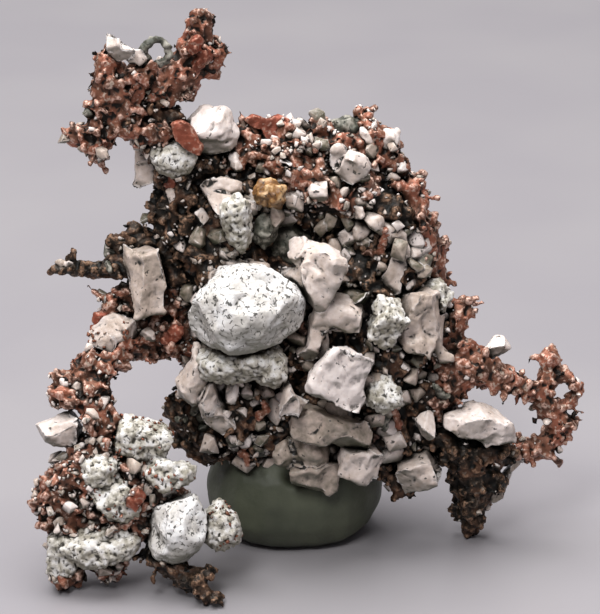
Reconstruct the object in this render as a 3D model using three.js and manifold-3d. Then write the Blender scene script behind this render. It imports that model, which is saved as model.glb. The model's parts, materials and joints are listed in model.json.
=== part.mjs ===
// A native copper nugget, about 88 mm wide and 88 mm tall, standing in a pressed lump of display putty.
// Rough copper limbs fork from one body of metal. White calcite, sugary quartz and green chlorite grains are
// grown between the limbs and held by them. The putty's flat foot, the two toes of the lower left lobe and the
// tooth on the right meet the shelf.
// Units are millimetres. +Z is up, -Y is the show side, and the origin is the centre of the putty's foot.
import * as THREE from "three";
import { ConvexGeometry } from "three/addons/geometries/ConvexGeometry.js";
import { mergeVertices } from "three/addons/utils/BufferGeometryUtils.js";
import Module from "manifold-3d";

const GAP = 0.3; // clearance kept between two pieces that touch
const KNOB_REACH = 1.3; // how far a copper knob's corners reach, as a share of its radius
const KNOB_GROWTH = 1.35; // how far a knob's radius grows for each unit of clearance at its faces
const KNOB_STRAY = 0.4; // how far a copper knob's corners stray, as a share of its radius
const PUTTY_PROFILE = [[0, 0], [9.8, 0], [12.2, 1.5], [13.8, 4.6], [14.1, 8.6], [12.8, 12.6], [9.6, 16], [0, 18]];
const PUTTY_FLATTEN = 0.9; // depth over width of the putty lump
const PUTTY_LOBING = 0.035; // how far the hand-pressed outline strays from round
const PUTTY_SEGMENTS = 18;
const SHELF_BLOCK = 200; // side of the block below the shelf that trims what would sink into it
const WELD = 1e-4; // corners closer than this are one corner

const wasm = await Module();
wasm.setup();

const MATERIALS = {
  copper: new THREE.MeshStandardMaterial({ color: 0x6e4434, roughness: 0.5, metalness: 0.8 }),
  bright_copper: new THREE.MeshStandardMaterial({ color: 0xa85a45, roughness: 0.45, metalness: 0.8 }),
  calcite: new THREE.MeshStandardMaterial({ color: 0xd6c9c0, roughness: 0.4, metalness: 0 }),
  sugar_quartz: new THREE.MeshStandardMaterial({ color: 0xdcd8d4, roughness: 0.7, metalness: 0 }),
  chlorite: new THREE.MeshStandardMaterial({ color: 0x4c5344, roughness: 0.75, metalness: 0 }),
  gilt: new THREE.MeshStandardMaterial({ color: 0xb08548, roughness: 0.45, metalness: 0.5 }),
  putty: new THREE.MeshStandardMaterial({ color: 0x3c4033, roughness: 0.6, metalness: 0 }),
};

// Copper limbs. Each chain is a run of knobs, [x, y, z, radius], that are linked in turn.
const LIMBS = [
  {
    name: "copper_body",
    chains: [
      [[-7, -3, 21, 7], [7, -4, 21, 8], [19, -3, 24, 6.4]],
      [[-7, -3, 21, 7], [-9, -1, 38, 8.4], [4, 0, 40, 10.6], [15, -1, 38, 8.6], [7, -4, 21, 8]],
      [[-9, -1, 38, 8.4], [-11.6, 0, 56, 6.4], [1, 2, 60, 6.4], [11, 1, 57, 6], [15, -1, 38, 8.6]],
    ],
  },
  {
    name: "copper_neck",
    chains: [
      [[-14, -1, 53, 5.6], [-16.6, -1, 61, 4.8], [-20.6, -1, 68, 4.2], [-23.4, -1.6, 73, 3.2]],
      [[-14, -1, 53, 5.6], [-20, -2, 56.4, 3.2]],
      [[-16.6, -1, 61, 4.8], [-12.4, 0, 66.6, 3]],
    ],
  },
  {
    name: "copper_horn",
    chains: [
      [[-24.4, -1.4, 74, 3.1], [-20.6, -1, 76.8, 2.7], [-17, 0, 79.2, 2.7], [-14.8, 1, 81.6, 2.2],
        [-14.5, 2, 85.8, 2.1]],
      [[-17, 0, 79.2, 2.4], [-13, 1.4, 78.8, 1.7], [-11, 2, 81.8, 1.1]],
      [[-20.6, -1, 76.8, 2.4], [-16, 1, 75.6, 1.6]],
    ],
  },
  {
    name: "copper_column",
    chains: [
      [[-24.6, -3, 73.6, 3.1], [-28.4, -3, 76.8, 2.7], [-29, -3, 80.6, 2.3], [-27.2, -3, 82.6, 1.5]],
      [[-28.4, -3, 76.8, 2.7], [-29.8, -4, 72.2, 2.3], [-30.8, -5, 68.2, 2.5]],
      [[-24.6, -3, 73.6, 3.1], [-24, -3, 79.4, 2.4]],
      [[-30.4, -5, 69, 2.2], [-33.8, -5, 69.8, 1.6]],
      [[-29.8, -4, 71.8, 2], [-25, -4, 70.4, 2.1], [-20.4, -4.6, 70, 2.2]],
    ],
  },
  {
    name: "copper_crest",
    chains: [
      [[-10, 0, 65, 3], [-5, 0.6, 66.6, 3], [2, 1, 66, 3.2], [8.4, 1, 65.4, 3.2], [12.6, 2, 66, 2.5],
        [10.6, 3, 69.8, 1.4]],
      [[2, 1, 66.4, 2.2], [4, 0, 69.6, 0.9]],
      [[12.6, 2, 66, 2.5], [13, 1, 62, 3.2], [16.8, 1, 62.2, 1.7]],
      [[-5, 0, 66, 2.6], [1, -3.6, 62.6, 2.9], [9.6, -4, 59.6, 3]],
    ],
  },
  {
    name: "copper_wall",
    chains: [
      [[13.4, 0, 58.4, 3.4], [17.4, 0.4, 58, 3], [18.4, 0.4, 53.4, 3.6], [20.6, 0.8, 47.4, 3.5],
        [20.8, 0.4, 41.4, 3.4]],
      [[18.4, 0.4, 55, 2.4], [19.6, 0.4, 60, 0.9]],
      [[15, -3, 53, 3], [14.6, -3.6, 47, 3.1]],
    ],
  },
  {
    name: "copper_spike",
    chains: [
      [[-15, -3, 46.6, 4], [-20.4, -3.6, 47.6, 3.2], [-25.6, -4.4, 47.6, 2], [-32.6, -4, 47, 1.1],
        [-36.4, -4, 47, 0.9], [-39, -4, 46.8, 0.4]],
      [[-34.8, -4, 47.2, 0.8], [-35, -4, 49.8, 0.7]],
      [[-18, -2, 50.4, 3.1], [-23.4, -2, 50.6, 2.2], [-28.2, -3, 51.2, 1.4]],
      [[-23.4, -2, 50.6, 2], [-26.2, -2, 53.2, 1.2]],
    ],
  },
  {
    name: "copper_arch",
    chains: [
      [[-15.6, -3.4, 35.8, 3.8], [-21.4, -5, 36.6, 3.2], [-27.2, -7.4, 35.8, 2.7], [-31.2, -11.4, 33, 2.5],
        [-32, -14.8, 28, 2.4], [-31, -16.8, 24.6, 2.8]],
      [[-31.2, -11.4, 33, 2.2], [-35.2, -13.8, 31.8, 1.8]],
      [[-32, -14.8, 28.4, 2], [-36.4, -15, 29.8, 1.8]],
      [[-27.2, -7.4, 35.8, 2.4], [-27.6, -5, 41.4, 2.7], [-21.6, -4, 41.6, 3.2], [-16.6, -3, 41, 3.6]],
    ],
  },
  {
    name: "copper_lobe",
    chains: [
      [[-30.4, -17.4, 21.4, 3.4], [-33.8, -18.8, 17.4, 4], [-37, -19.6, 13.4, 3.7], [-34, -21, 7.6, 3],
        [-36.6, -22.6, 3, 2.3]],
      [[-30.4, -17.4, 21.4, 3.4], [-25, -17.8, 16.6, 4.6], [-19.6, -19.6, 11, 3.8]],
      [[-25, -17.8, 16.6, 4.6], [-29.6, -20.4, 9.6, 3.8], [-30.2, -22.4, 3.4, 2]],
    ],
  },
  {
    name: "copper_tail",
    chains: [
      [[-22.4, -22, 6.4, 2.3], [-16.6, -26.4, 3.4, 1.7], [-11.4, -29, 0.9, 0.8]],
      [[-16.6, -26.4, 3.4, 1.4], [-13, -26, 5, 1.1]],
    ],
  },
  {
    name: "copper_underside",
    chains: [
      [[-9, -5, 21, 4], [-14.6, -6.4, 18.4, 3.7], [-17, -7.8, 22.6, 2], [-18.8, -8, 25.6, 1]],
      [[-17, -7.8, 22, 1.6], [-20.2, -8.2, 24.4, 0.9], [-19.9, -8, 27, 0.6]],
    ],
  },
  {
    name: "copper_arm",
    chains: [
      [[21, -3, 33, 4], [25, -2.4, 37.4, 2.5], [26.4, -1.4, 40, 1.4]],
      [[21, -3, 33, 4], [27.4, -3.8, 31, 3.6], [33.2, -3.8, 28.2, 2.2], [40.2, -2, 24.6, 1.4],
        [40.8, -0.6, 27.8, 1.1], [41.5, 0, 30.2, 1.3]],
      [[40.2, -2, 24.6, 1.4], [40.9, -2, 21, 1.6], [43.8, -1.4, 19.4, 1.9], [41.6, -2, 16.2, 1.7],
        [38.2, -2.6, 15.2, 1.6], [35, -3, 15, 1.6]],
      [[40.9, -1.6, 21.2, 1.2], [44.6, -1, 22.4, 1], [45.7, -0.6, 24.8, 0.9], [44.2, -0.4, 27.2, 1],
        [41.2, -0.6, 27.2, 1.1]],
      [[39.6, -2.4, 15, 1.1], [43.2, -2.4, 13, 0.8]],
      [[27.4, -3.8, 31, 3.2], [21.6, -4.6, 24.4, 3.8]],
    ],
  },
  {
    name: "copper_tooth",
    chains: [
      [[13.6, -4, 15.4, 3.4], [20, -5, 17, 3.4], [27, -6, 17.6, 3.4], [34.4, -4, 15.4, 1.9]],
      [[27, -5.4, 16, 3.2], [29.8, -4.6, 11.8, 4.4], [28.8, -4.4, 5.8, 2.6], [28.4, -4, 1.6, 1.2]],
      [[20, -5, 17, 2.6], [17.4, -7, 11, 1.8]],
    ],
  },
];

// Copper leaves: thin plates with a torn outline, [across, up], turned to face out of the nugget.
const LEAVES = [
  {
    name: "copper_leaf_neck",
    at: [-16.8, -7.2, 70], turn: [-14, 0, -10], thickness: 1.1,
    outline: [[-2.2, 2.2], [-0.6, 2.8], [0.8, 2.2], [1.8, 0.4], [2.8, -1.2], [2.2, -2.6], [0.6, -2.2], [-1.4, -0.4]],
  },
  {
    name: "copper_leaf_crest",
    at: [-4.3, -0.6, 69.4], turn: [-20, 0, 4], thickness: 1.2,
    outline: [[-3.6, 1.2], [-2.2, 2], [0, 1.4], [1.8, 2.2], [3.6, 1.2], [2.6, 0], [1.6, -0.4], [2.4, -2],
      [1.4, -3.2], [0, -2.2], [-0.8, -0.4], [-2.4, 0]],
  },
];

// Grains. Each node is one grain or several grown together: [shape, centre, width-depth-height, turn about X, Y, Z].
const GRAINS = [
  ["quartz_pebble", "sugar_quartz", [["pebble", [-7.7, -14.6, 44.6], [18.4, 15, 14.8], [0, -9, 0]]]],
  ["calcite_slab", "calcite", [["block", [7.9, -16.6, 34.6], [9.2, 6.2, 10.6], [-8, 26, 6]]]],
  ["milky_calcite_column", "calcite", [
    ["block", [4, -12.6, 50.2], [6.2, 6.6, 10.6], [6, 22, -8]], ["lump", [1, -11, 47], [6, 5, 4.4], [0, 10, 0]],
    ["lump", [1, -10.6, 52.6], [3.6, 4, 4.4], [0, 12, 0]], ["block", [7.4, -11.8, 42], [9, 6, 4.8], [0, 20, 0]],
    ["lump", [3, -13, 38.6], [5, 5, 6.4], [0, 20, 0]]]],
  ["calcite_ovoid", "calcite", [["pebble", [30.1, -8.4, 21.8], [13.9, 8.4, 7.2], [0, 14, 0]]]],
  ["calcite_tablets_right", "calcite", [
    ["block", [18.9, -9, 39.4], [6.6, 5.4, 10.6], [-10, 14, 20]],
    ["shard", [23.6, -6.6, 36.2], [4.8, 4, 7.6], [170, 12, 0]]]],
  ["calcite_wedge_mid", "calcite", [["shard", [-0.8, -17, 30.6], [6, 5.6, 5.6], [0, -8, 0]]]],
  ["glassy_grain_mid", "chlorite", [["cobble", [10.2, -9.2, 44.4], [6.2, 6, 4.2], [0, 0, 0]]]],
  ["drusy_grain_mid", "sugar_quartz", [["block", [14.2, -12, 41.4], [5.2, 5, 6.2], [10, 40, 20]]]],
  ["drusy_grain_low", "sugar_quartz", [["lump", [14, -14, 29.8], [6, 5.4, 5.6], [0, 0, 0]]]],
  ["rough_quartz_right", "sugar_quartz", [["lump", [22, -4.4, 42.8], [5.8, 5.4, 4.8], [0, 30, 0]]]],
  ["quartz_ledge", "chlorite", [
    ["cobble", [-8.4, -14.4, 35.4], [14.4, 9.6, 7], [0, -6, 0]], ["cobble", [-3.6, -15.4, 34.8], [5, 5, 6], [0, 0, 0]]]],
  ["calcite_lobes_left", "calcite", [
    ["cobble", [-16.2, -12, 31.8], [5.2, 6.6, 10.8], [0, 14, 0]],
    ["cobble", [-13.2, -13, 28.8], [4.4, 6, 9.8], [0, 16, 0]],
    ["lump", [-11.4, -13.4, 25.4], [4.6, 4.6, 4.8], [0, 0, 0]]]],
  ["calcite_shelf", "chlorite", [
    ["block", [6, -13.6, 23.8], [12.4, 7, 5], [-10, 10, 0]], ["lump", [2.6, -12.4, 19.4], [6.6, 6, 7], [0, 0, 0]],
    ["lump", [-1.4, -11.6, 18.8], [5.2, 5, 4.6], [0, 0, 0]], ["block", [3.4, -12, 14.8], [8.4, 5, 5.2], [8, 4, 0]]]],
  ["calcite_cobble_low", "calcite", [["block", [10.7, -13, 18.6], [6.6, 6, 6.6], [0, 20, 10]]]],
  ["calcite_cobble_right", "calcite", [["block", [20, -8.8, 14.4], [8.2, 6, 6], [0, -14, 0]]]],
  ["calcite_bead_right", "calcite", [["lump", [20.4, -10.4, 22.8], [5.8, 5.4, 5.4], [0, 0, 0]]]],
  ["glassy_calcite_ridge", "calcite", [["cobble", [31.5, -1.4, 31.6], [6.2, 6.4, 6], [0, 40, 0]]]],
  ["tooth_grains", "calcite", [
    ["lump", [34.2, -2.4, 9.6], [3, 3.4, 6], [0, 10, 0]], ["block", [35.6, -2.6, 12.6], [3.2, 3.4, 2.8], [0, 0, 0]]]],
  ["calcite_crown_boulder", "calcite", [["pebble", [-13.4, -2.4, 69.4], [8, 8, 10.8], [0, -42, 0]]]],
  ["calcite_crown_tips", "calcite", [
    ["block", [-27.3, -4, 84], [4.2, 4, 4.8], [0, -18, 0]], ["lump", [-23.7, -3, 82.2], [4.4, 4, 5], [0, 0, 0]]]],
  ["milky_calcite_neck", "calcite", [["cobble", [-23.2, 0, 62.6], [5.2, 5.4, 9], [0, 8, 0]]]],
  ["drusy_crust_neck", "sugar_quartz", [["cobble", [-18.6, -4.8, 66], [8, 6, 6.6], [0, 10, 0]]]],
  ["calcite_brow", "calcite", [
    ["cobble", [-12.4, -4.6, 61.6], [9.4, 6, 5], [0, 6, 0]], ["lump", [-12, -8.2, 59.4], [5.8, 5, 4.2], [0, 0, 0]]]],
  ["drusy_crust_brow", "sugar_quartz", [["cobble", [-9.2, -11, 57], [5.8, 6, 11.4], [0, 4, 0]]]],
  ["calcite_crest_cream", "calcite", [["shard", [0.8, 1.4, 68.2], [4.6, 4, 5.2], [0, 12, 0]]]],
  ["calcite_crest_grey", "chlorite", [["lump", [8, 2.4, 68.4], [5.4, 4.4, 4], [0, 0, 0]]]],
  ["calcite_crest_tablets", "calcite", [
    ["block", [8.4, -6, 64], [3.3, 2.8, 6.6], [10, 36, 0]], ["shard", [6.9, -3.4, 65.8], [3.8, 3, 3.4], [0, -20, 0]]]],
  ["gilt_nodule", "gilt", [["lump", [-4, -8.4, 61.4], [4.9, 4.2, 4.2], [0, 10, 0]]]],
  ["chlorite_matrix", "chlorite", [
    ["cobble", [-1.6, -1.6, 50], [10.6, 8, 9.4], [0, 0, 0]], ["lump", [-4.8, -5, 54.6], [4, 7, 5.8], [0, 0, 0]]]],
  ["calcite_crumbs_upper_right", "calcite", [
    ["lump", [12.4, -6.4, 55.8], [3.4, 3.4, 3], [0, 40, 0]], ["lump", [15.2, -5.6, 54], [4.4, 3.6, 3.4], [0, 20, 0]],
    ["block", [17, -4.8, 51], [3.4, 3, 5.4], [0, -24, 0]], ["shard", [15.6, -6.8, 47.6], [4.8, 3.8, 6], [0, 30, 0]]]],
  ["calcite_spike_grain", "calcite", [["block", [-23.3, -8.4, 47], [6.4, 6, 10.4], [0, -8, 20]]]],
  ["calcite_arch_grain", "calcite", [
    ["cobble", [-27.2, -9, 38.8], [11.4, 6, 4.8], [0, -18, 0]], ["lump", [-30.4, -10, 37], [4.4, 5, 4], [0, 0, 0]]]],
  ["calcite_lobe_pale", "calcite", [
    ["block", [-36.8, -16.8, 25], [7.6, 6, 6], [0, -24, 0]], ["lump", [-38.6, -17, 23], [4.4, 5, 4.4], [0, 0, 0]]]],
  ["drusy_lobe_top", "sugar_quartz", [
    ["block", [-23.8, -17.6, 23.6], [8.4, 6, 5.6], [0, 16, 0]], ["cobble", [-19.6, -21, 19.4], [8.2, 6, 6], [0, -8, 0]]]],
  ["drusy_lobe_crust", "sugar_quartz", [
    ["cobble", [-30, -21.6, 20.2], [6.2, 5.4, 5.4], [0, 0, 0]], ["cobble", [-28, -22.4, 15.4], [8.8, 6.4, 8.4], [0, 0, 0]]]],
  ["quartz_lobe_boulder", "sugar_quartz", [["pebble", [-18.4, -24, 11.6], [9.6, 9, 12.6], [0, 10, 0]]]],
  ["drusy_lobe_cluster", "chlorite", [["lump", [-11.9, -21.6, 10.2], [6.6, 6.4, 7.6], [0, 0, 0]]]],
  ["drusy_lobe_foot", "sugar_quartz", [
    ["block", [-36.4, -22.8, 6.6], [5, 4, 6.4], [0, 4, 0]], ["cobble", [-30.4, -24, 7.8], [13.4, 6, 7], [0, -6, 0]]]],
  ["calcite_back_top", "calcite", [
    ["block", [4.6, 7.4, 61.4], [8, 7, 7.4], [10, 20, 0]], ["lump", [-1.8, 7, 60], [8.4, 6.4, 6.4], [0, 0, 0]],
    ["block", [11.4, 6, 57], [6, 6, 7], [0, -20, 10]]]],
  ["quartz_back_left", "sugar_quartz", [
    ["cobble", [-12.4, 7.6, 50], [9, 8, 11], [0, 12, 0]], ["lump", [-16.4, 6, 42.4], [7, 7, 8], [0, 0, 0]]]],
  ["calcite_back_middle", "calcite", [
    ["block", [0, 11.4, 49.4], [10, 8, 8.6], [0, -14, 0]], ["shard", [6.4, 10.4, 45.4], [9, 8, 10], [0, 24, 0]]]],
  ["quartz_back_boulder", "sugar_quartz", [["pebble", [-4.4, 12, 35.4], [14, 11, 12.6], [0, 12, 0]]]],
  ["calcite_back_right", "calcite", [
    ["block", [12.6, 10.4, 33.6], [9, 8, 10.6], [0, -22, 0]], ["lump", [18.8, 6.6, 29], [7.6, 6.6, 7.4], [0, 0, 0]]]],
  ["calcite_back_low", "calcite", [
    ["block", [5.4, 9.4, 21.6], [10, 7.6, 8], [0, 12, 0]], ["lump", [-2.2, 9, 21.4], [9.6, 7, 7], [0, 0, 0]]]],
];

// The same numbers for the same name in every run.
function seededRandom(name) {
  let state = [...name].reduce((sum, letter) => Math.imul(sum, 31) + letter.charCodeAt(0), 7) >>> 0;
  return () => {
    state = (state + 0x6d2b79f5) >>> 0;
    let mixed = Math.imul(state ^ (state >>> 15), 1 | state);
    mixed = (mixed + Math.imul(mixed ^ (mixed >>> 7), 61 | mixed)) ^ mixed;
    return ((mixed ^ (mixed >>> 14)) >>> 0) / 4294967296;
  };
}

function weldedPositions(geometry) {
  const bare = new THREE.BufferGeometry().setAttribute("position", geometry.getAttribute("position"));
  if (geometry.index) bare.setIndex(geometry.index);
  return mergeVertices(bare, WELD);
}

function toSolid(geometry) {
  const welded = weldedPositions(geometry);
  return new wasm.Manifold(new wasm.Mesh({
    numProp: 3,
    vertProperties: new Float32Array(welded.attributes.position.array),
    triVerts: new Uint32Array(welded.index.array),
  }));
}

function toGeometry(solid) {
  const mesh = solid.getMesh();
  return new THREE.BufferGeometry()
    .setAttribute("position", new THREE.BufferAttribute(new Float32Array(mesh.vertProperties), mesh.numProp))
    .setIndex(new THREE.BufferAttribute(new Uint32Array(mesh.triVerts), 1));
}

const hull = (points) => toSolid(new ConvexGeometry(points));
const joined = (solids) => solids.reduce((all, next) => all.add(next));

// The corner directions of an icosahedron, split detail times.
function ballDirections(detail) {
  const corners = weldedPositions(new THREE.IcosahedronGeometry(1, detail)).getAttribute("position");
  return Array.from({ length: corners.count }, (_, i) => new THREE.Vector3().fromBufferAttribute(corners, i));
}
const FEW_DIRECTIONS = ballDirections(0);
const MANY_DIRECTIONS = ballDirections(1);
const OCTAHEDRON_DIRECTIONS = [0, 1, 2, 3, 4, 5].map((i) =>
  new THREE.Vector3().setComponent(i >> 1, i & 1 ? 1 : -1));
const BOX_CORNERS = [0, 1, 2, 3, 4, 5, 6, 7].map((i) =>
  new THREE.Vector3(i & 1 ? 1 : -1, i & 2 ? 1 : -1, i & 4 ? 1 : -1));

// One rough knob of metal: an octahedral crystal with straying corners, turned anyhow.
function knobPoints([x, y, z, radius], random) {
  const turn = turnOf([90 * random(), 90 * random(), 90 * random()]);
  return OCTAHEDRON_DIRECTIONS.map((direction) => {
    const reach = radius * (KNOB_REACH + KNOB_STRAY * (random() - 0.5));
    return direction.clone().multiplyScalar(reach).applyEuler(turn).add(new THREE.Vector3(x, y, z));
  });
}

// A limb: neighbouring knobs wrapped in pairs. grow swells it by the clearance to cut others with.
function limbSolid({ name, chains }, grow) {
  const random = seededRandom(name);
  return joined(chains.flatMap((chain) => {
    const knobs = chain.map(([x, y, z, radius]) => knobPoints([x, y, z, radius + grow * KNOB_GROWTH], random));
    return knobs.slice(1).map((knob, i) => hull([...knobs[i], ...knob]));
  }));
}

// A box with its corners broken off unevenly. taper narrows its top, which makes it a wedge.
function brokenBox(random, taper) {
  return BOX_CORNERS.flatMap(({ x, y, z }, i) => {
    const narrow = z > 0 ? taper : 1;
    const corner = new THREE.Vector3(x * narrow, y * (narrow + 1) / 2, z);
    return ["x", "y", "z"].filter((_, k) => k !== i % 3).map((axis) => {
      const chip = corner.clone().multiplyScalar(0.88 + 0.12 * random());
      chip[axis] *= 0.82 - 0.34 * random();
      return chip;
    });
  });
}

const stray = (directions, random, share) =>
  directions.map((direction) => direction.clone().multiplyScalar(1 + share * (random() - 0.5)));

// Grain shapes in a box from -1 to 1. A block cuts others by its whole box, which has fewer corners.
const GRAIN_SHAPES = {
  pebble: (random) => stray(MANY_DIRECTIONS, random, 0.12),
  cobble: (random) => stray(MANY_DIRECTIONS.filter(() => random() < 0.5), random, 0.3),
  lump: (random) => stray(FEW_DIRECTIONS, random, 0.3).map((point) => point.multiplyScalar(1.1)),
  block: (random, whole) => (whole ? BOX_CORNERS.map((corner) => corner.clone()) : brokenBox(random, 1)),
  shard: (random) => brokenBox(random, 0.35),
};

const turnOf = (degrees) => new THREE.Euler(...degrees.map(THREE.MathUtils.degToRad));

function grainSolid(name, grains, grow) {
  return joined(grains.map(([shape, centre, size, turn], i) => {
    const half = new THREE.Vector3(...size).multiplyScalar(0.5).addScalar(grow);
    const place = new THREE.Matrix4().makeRotationFromEuler(turnOf(turn)).setPosition(...centre);
    const corners = GRAIN_SHAPES[shape](seededRandom(name + i), grow > 0);
    return hull(corners.map((corner) => corner.multiply(half).applyMatrix4(place)));
  }));
}

function leafSolid({ at, turn, thickness, outline }, grow) {
  const reach = 1 + grow / 2;
  const shape = new THREE.Shape(outline.map(([x, y]) => new THREE.Vector2(x * reach, y * reach)));
  const plate = new THREE.ExtrudeGeometry(shape, { depth: thickness + 2 * grow, bevelEnabled: false });
  plate.translate(0, 0, -thickness / 2 - grow).rotateX(Math.PI / 2);
  const place = new THREE.Matrix4().makeRotationFromEuler(turnOf(turn)).setPosition(...at);
  return toSolid(plate.applyMatrix4(place));
}

// The putty: a turned lump, pressed out of round, with a flat foot.
function puttySolid() {
  const lump = new THREE.LatheGeometry(PUTTY_PROFILE.map(([r, z]) => new THREE.Vector2(r, z)), PUTTY_SEGMENTS);
  lump.rotateX(Math.PI / 2);
  const position = lump.getAttribute("position");
  for (let i = 0; i < position.count; i++) {
    const [x, y] = [position.getX(i), position.getY(i)];
    const around = Math.atan2(y, x);
    const press = 1 + PUTTY_LOBING * (Math.sin(2 * around + 1) + 0.6 * Math.sin(5 * around));
    position.setXY(i, x * press, y * press * PUTTY_FLATTEN);
  }
  return toSolid(lump);
}

const boxesMeet = (a, b) => [0, 1, 2].every((k) => a.min[k] <= b.max[k] && b.min[k] <= a.max[k]);
const largestBody = (solid) => solid.decompose().reduce((best, body) => (body.volume() > best.volume() ? body : best));

const nugget = new THREE.Group();
const taken = []; // swollen copies of the pieces made so far, which later pieces are cut by

function place(name, material, solid, swollen) {
  const bounds = solid.boundingBox();
  const cut = taken.filter((other) => boxesMeet(bounds, other.boundingBox()))
    .reduce((left, other) => left.subtract(other), solid);
  const mesh = new THREE.Mesh(toGeometry(largestBody(cut)), MATERIALS[material]);
  mesh.name = name;
  nugget.add(mesh);
  if (swollen) taken.push(swollen);
}

const shelf = new THREE.BoxGeometry(SHELF_BLOCK, SHELF_BLOCK, SHELF_BLOCK).translate(0, 0, -SHELF_BLOCK / 2);
taken.push(toSolid(shelf));

for (const leaf of LEAVES) place(leaf.name, "bright_copper", leafSolid(leaf, 0), leafSolid(leaf, GAP));
for (const [name, material, grains] of GRAINS) {
  place(name, material, grainSolid(name, grains, 0), grainSolid(name, grains, GAP));
}
for (const limb of LIMBS) place(limb.name, "copper", limbSolid(limb, 0), limbSolid(limb, GAP));
place("putty_foot", "putty", puttySolid());

export default nugget;
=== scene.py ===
"""Looks of a native copper nugget standing in display putty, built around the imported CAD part."""

import json
import logging
import math
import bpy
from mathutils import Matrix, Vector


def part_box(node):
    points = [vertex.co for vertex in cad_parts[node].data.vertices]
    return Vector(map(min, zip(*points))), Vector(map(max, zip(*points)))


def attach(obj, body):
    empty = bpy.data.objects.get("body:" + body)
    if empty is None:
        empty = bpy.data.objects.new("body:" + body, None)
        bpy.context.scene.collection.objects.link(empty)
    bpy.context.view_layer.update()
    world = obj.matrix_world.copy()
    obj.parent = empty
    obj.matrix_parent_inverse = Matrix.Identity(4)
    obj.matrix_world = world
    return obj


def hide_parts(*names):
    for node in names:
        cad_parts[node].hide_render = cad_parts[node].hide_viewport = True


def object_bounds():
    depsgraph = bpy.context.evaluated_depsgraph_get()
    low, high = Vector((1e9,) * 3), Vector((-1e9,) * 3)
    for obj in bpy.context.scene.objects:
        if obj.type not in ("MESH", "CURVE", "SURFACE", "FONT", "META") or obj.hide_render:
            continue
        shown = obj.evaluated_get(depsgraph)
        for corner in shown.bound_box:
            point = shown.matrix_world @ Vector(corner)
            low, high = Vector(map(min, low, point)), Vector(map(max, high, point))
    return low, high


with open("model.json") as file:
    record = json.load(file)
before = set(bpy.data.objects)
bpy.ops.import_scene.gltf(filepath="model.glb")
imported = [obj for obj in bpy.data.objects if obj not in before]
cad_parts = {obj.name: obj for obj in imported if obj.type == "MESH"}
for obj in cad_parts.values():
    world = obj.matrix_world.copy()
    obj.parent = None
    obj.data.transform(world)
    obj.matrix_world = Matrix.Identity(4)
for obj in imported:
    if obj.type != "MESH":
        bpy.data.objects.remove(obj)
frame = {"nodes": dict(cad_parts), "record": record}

import zlib
from dataclasses import dataclass, field, replace
from enum import Enum
from functools import cache

import bmesh
import bpy
import numpy as np
from mathutils import Vector
from mathutils.bvhtree import BVHTree
from mathutils.kdtree import KDTree
from mathutils.noise import noise as perlin

CAD_BOX = [list(corner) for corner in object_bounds()]
MM = 0.001
CM = 0.01
ROOT = "root"
FLOOR = 0.02 * MM  # the height of the lowest corner, so that nothing sinks into the shelf
SHAPES = 12  # how many different shapes a kind of small piece comes in
DRAWN = 2.2  # places drawn for each small piece that should stay after clumping
BEAD_STEP = 0.55 * MM  # the space between a twig's nodules
BEAD_WIDTH = 2.2  # the width of a twig's nodule over the twig's radius
RELAX = 0.6  # how far a corner moves to its neighbours' mean in one round of smoothing
LOG = logging.getLogger("nugget")


# --------------------------------------------------------------------------------------------------
# Numbers and colours


def seeded(name: str) -> np.random.Generator:
    """Gives random numbers that are the same for the same name in each run.

    Args:
        name: What the numbers are for.

    Returns:
        A generator seeded from the name.
    """
    return np.random.default_rng(zlib.crc32(name.encode()))


def linear(colour: str) -> tuple[float, float, float, float]:
    """Turns an sRGB hex colour to linear.

    Args:
        colour: Six hex digits.

    Returns:
        Linear red, green and blue, and an alpha of 1.
    """
    parts = [int(colour[i : i + 2], 16) / 255 for i in (0, 2, 4)]
    red, green, blue = (p / 12.92 if p <= 0.04045 else ((p + 0.055) / 1.055) ** 2.4 for p in parts)
    return red, green, blue, 1.0


def turns(rng: np.random.Generator, count: int) -> np.ndarray:
    """Gives random rotations, spread evenly.

    Args:
        rng: Where the numbers come from.
        count: How many rotations.

    Returns:
        Rotation matrices, as an array of count by 3 by 3.
    """
    w, x, y, z = (q := rng.normal(size=(count, 4))).T / np.linalg.norm(q, axis=1)
    rows = [
        [1 - 2 * (y * y + z * z), 2 * (x * y - z * w), 2 * (x * z + y * w)],
        [2 * (x * y + z * w), 1 - 2 * (x * x + z * z), 2 * (y * z - x * w)],
        [2 * (x * z - y * w), 2 * (y * z + x * w), 1 - 2 * (x * x + y * y)],
    ]
    return np.moveaxis(np.array(rows), 2, 0)


# --------------------------------------------------------------------------------------------------
# Surfaces


def unit(vectors: np.ndarray) -> np.ndarray:
    """Gives each row of vectors a length of 1."""
    return vectors / np.linalg.norm(vectors, axis=1)[:, None]


def show(name: str, data: bpy.types.ID) -> bpy.types.Object:
    """Adds an object to the scene.

    Args:
        name: The object's name.
        data: Its mesh, camera or light.

    Returns:
        The object.
    """
    made = bpy.data.objects.new(name, data)
    bpy.context.scene.collection.objects.link(made)
    return made


def write_values(mesh: bpy.types.Mesh, name: str, values: np.ndarray) -> None:
    """Writes a number at each corner of a mesh, under a name that materials can read."""
    mesh.attributes.new(name, "FLOAT", "POINT").data.foreach_set("value", values)


def read_corners(mesh: bpy.types.Mesh) -> np.ndarray:
    """Reads a mesh's corners.

    Args:
        mesh: The mesh.

    Returns:
        The corners, in metres.
    """
    corners = np.empty(len(mesh.vertices) * 3)
    mesh.vertices.foreach_get("co", corners)
    return corners.reshape(-1, 3)


def write_corners(mesh: bpy.types.Mesh, corners: np.ndarray) -> None:
    """Moves a mesh's corners."""
    mesh.vertices.foreach_set("co", corners.ravel())
    mesh.update()


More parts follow.
